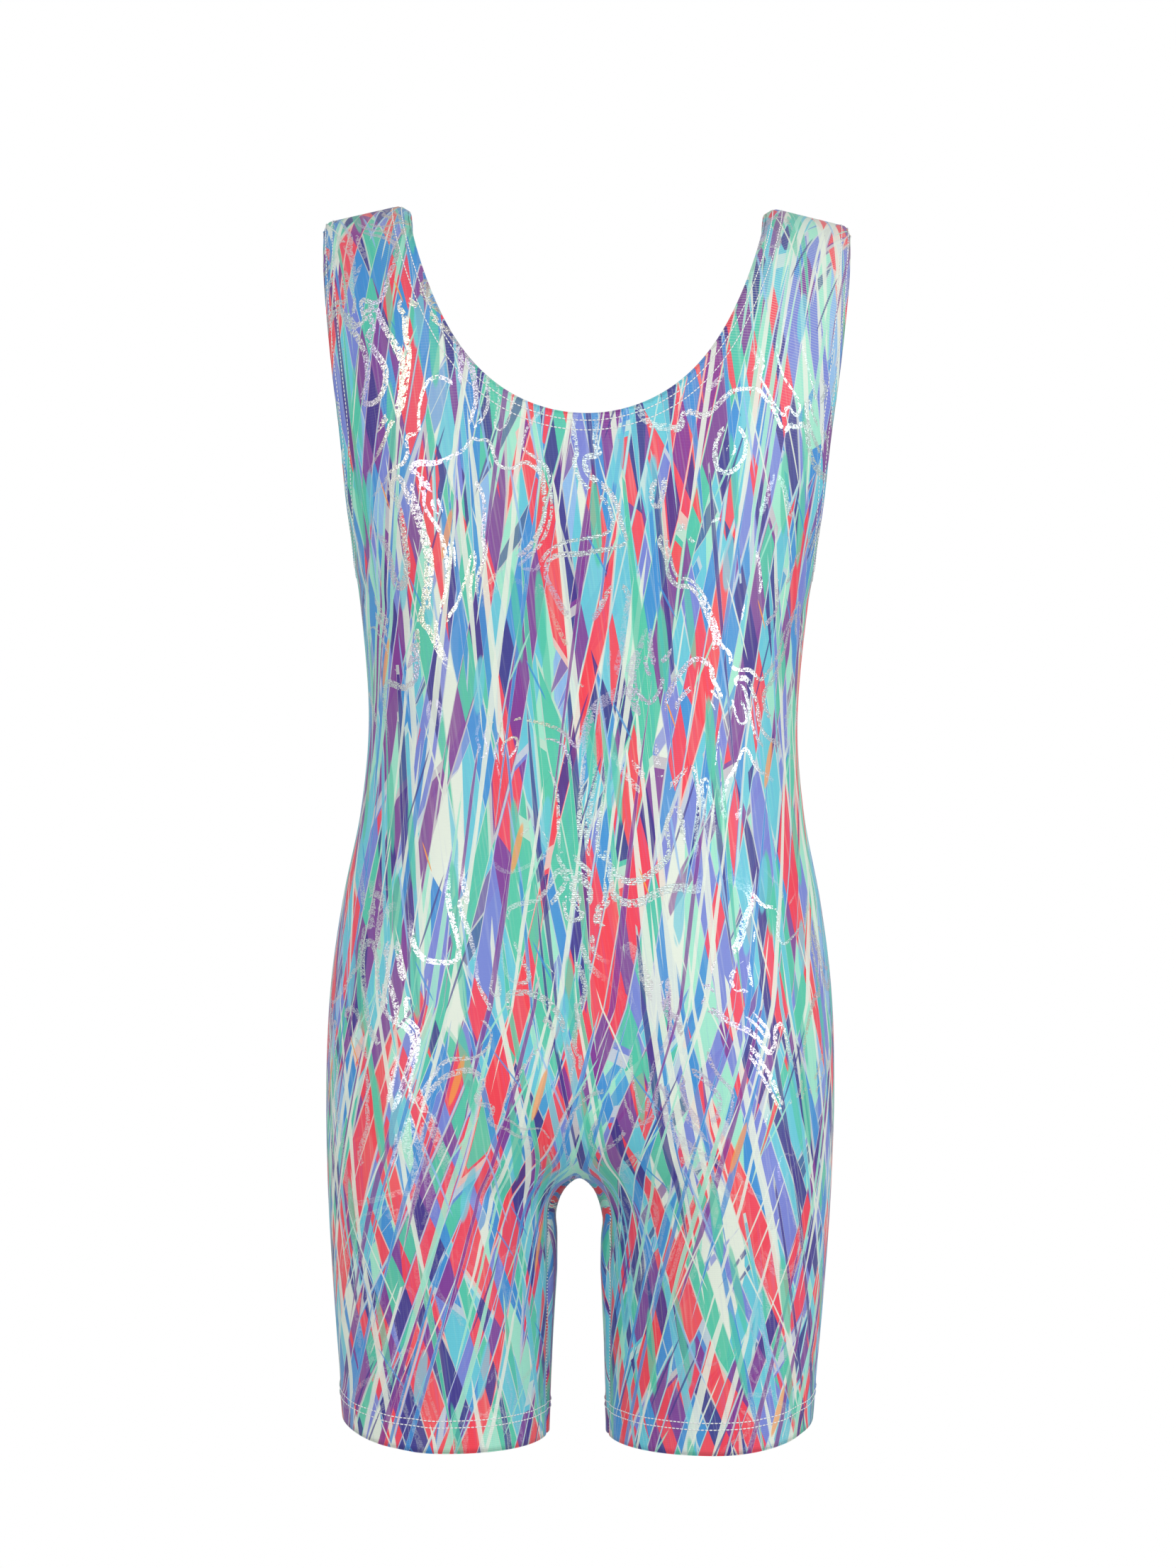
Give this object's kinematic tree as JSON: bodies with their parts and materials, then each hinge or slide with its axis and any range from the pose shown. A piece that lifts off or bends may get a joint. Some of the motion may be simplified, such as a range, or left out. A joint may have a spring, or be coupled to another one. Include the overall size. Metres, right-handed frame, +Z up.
{
  "type": "gymnastics jumpsuit",
  "caption": "Sleeveless stretch gymnastics jumpsuit with a deep scoop neck, wide straps and legs to mid-thigh, standing hollow as worn.",
  "frame": {"origin": "midway between the two shoulder straps, where the wearer's shoulders carry them", "axes": "+Z up, -Y the front of the garment, +X the wearer's left"},
  "size_m": [0.2994, 0.1841, 0.6888],
  "materials": {
    "printed_knit": "smooth matt-satin stretch knit, printed with long crossing streaks in mint, sky blue, indigo, purple and coral, with broken iridescent foil lines over them",
    "knit_reverse": "pale unprinted back of the knit, with the print showing through faintly",
    "thread": "fine white textured thread"
  },
  "bodies": {
    "root": {"front_panel": "printed_knit", "back_panel": "printed_knit", "neck_turn": "printed_knit", "armhole_turn_left": "printed_knit", "armhole_turn_right": "printed_knit", "leg_hem_turn_left": "printed_knit", "leg_hem_turn_right": "printed_knit"}
  },
  "joints": []
}
